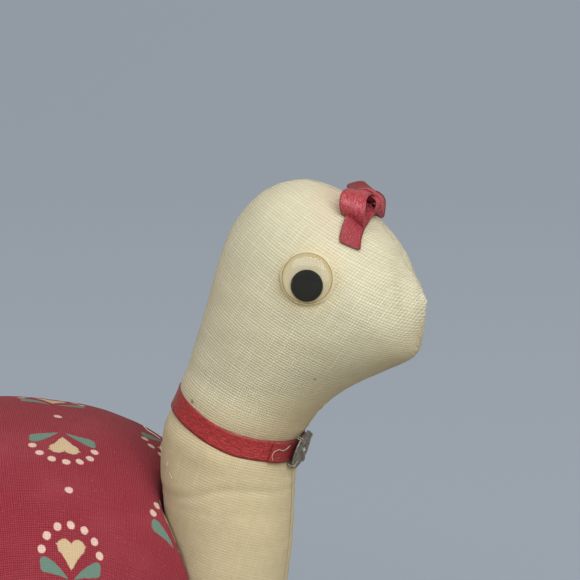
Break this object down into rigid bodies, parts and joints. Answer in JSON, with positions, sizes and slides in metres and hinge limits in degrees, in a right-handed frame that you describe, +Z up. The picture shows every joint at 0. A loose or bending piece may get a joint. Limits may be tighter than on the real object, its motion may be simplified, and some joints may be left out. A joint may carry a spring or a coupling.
{
  "type": "turtle pincushion",
  "caption": "Stuffed calico turtle pincushion: printed domed shell, muslin legs, tail and long neck, head with googly eyes and a ribbon bow, ribbon collar with a sew-on snap.",
  "frame": {"origin": "centre of the belly's flat underside, on the table", "axes": "+X towards the snout, +Y to the turtle's left, +Z up"},
  "size_m": [0.1149, 0.0784, 0.0785],
  "materials": {
    "muslin": "plain-woven cream cotton muslin",
    "calico": "crimson printed cotton calico",
    "filling": "packed fibre filling",
    "thread": "cotton sewing thread",
    "collar_satin": "red satin ribbon",
    "bow_satin": "pinkish red satin ribbon",
    "snap_metal": "tarnished",
    "eye_white": "yellowed white",
    "clear_plastic": "clear, glossy",
    "glue": "yellowed craft glue",
    "pupil_black": "black"
  },
  "bodies": {
    "body": {"shell_cover": "calico", "belly_cover": "muslin", "body_filling": "filling", "shell_seam_stitches": "thread", "leg_front_left_cover": "muslin", "leg_front_left_filling": "filling", "leg_front_right_cover": "muslin", "leg_front_right_filling": "filling", "leg_rear_left_cover": "muslin", "leg_rear_left_filling": "filling", "leg_rear_right_cover": "muslin", "leg_rear_right_filling": "filling", "leg_stitches": "thread", "tail_cover": "muslin", "tail_filling": "filling"},
    "neck": {"neck_head_panel_left": "muslin", "neck_head_panel_right": "muslin", "neck_head_filling": "filling", "neck_foot_stitches": "thread", "collar_ribbon": "collar_satin", "collar_snap": "snap_metal", "snap_thread": "thread", "head_bow": "bow_satin", "bow_tack_thread": "thread", "left_eye_back": "eye_white", "left_eye_dome": "clear_plastic", "left_eye_glue": "glue", "right_eye_back": "eye_white", "right_eye_dome": "clear_plastic", "right_eye_glue": "glue"},
    "left_pupil": {"left_pupil": "pupil_black"},
    "right_pupil": {"right_pupil": "pupil_black"}
  },
  "joints": [
    {"name": "neck_nod", "type": "hinge", "parent": "body", "child": "neck", "pos_m": [0.038, 0, 0.0143], "axis": [0, 1, 0], "range_deg": [0, 12], "stiffness_Nm_per_rad": 0.15, "springref_deg": -5.73},
    {"name": "left_pupil_roll", "type": "hinge", "parent": "neck", "child": "left_pupil", "pos_m": [0.05375, 0.01207, 0.06471], "axis": [0.2413, 0.9679, 0.0698], "continuous": true},
    {"name": "right_pupil_roll", "type": "hinge", "parent": "neck", "child": "right_pupil", "pos_m": [0.05375, -0.01207, 0.06471], "axis": [0.2413, -0.9679, 0.0698], "continuous": true}
  ]
}
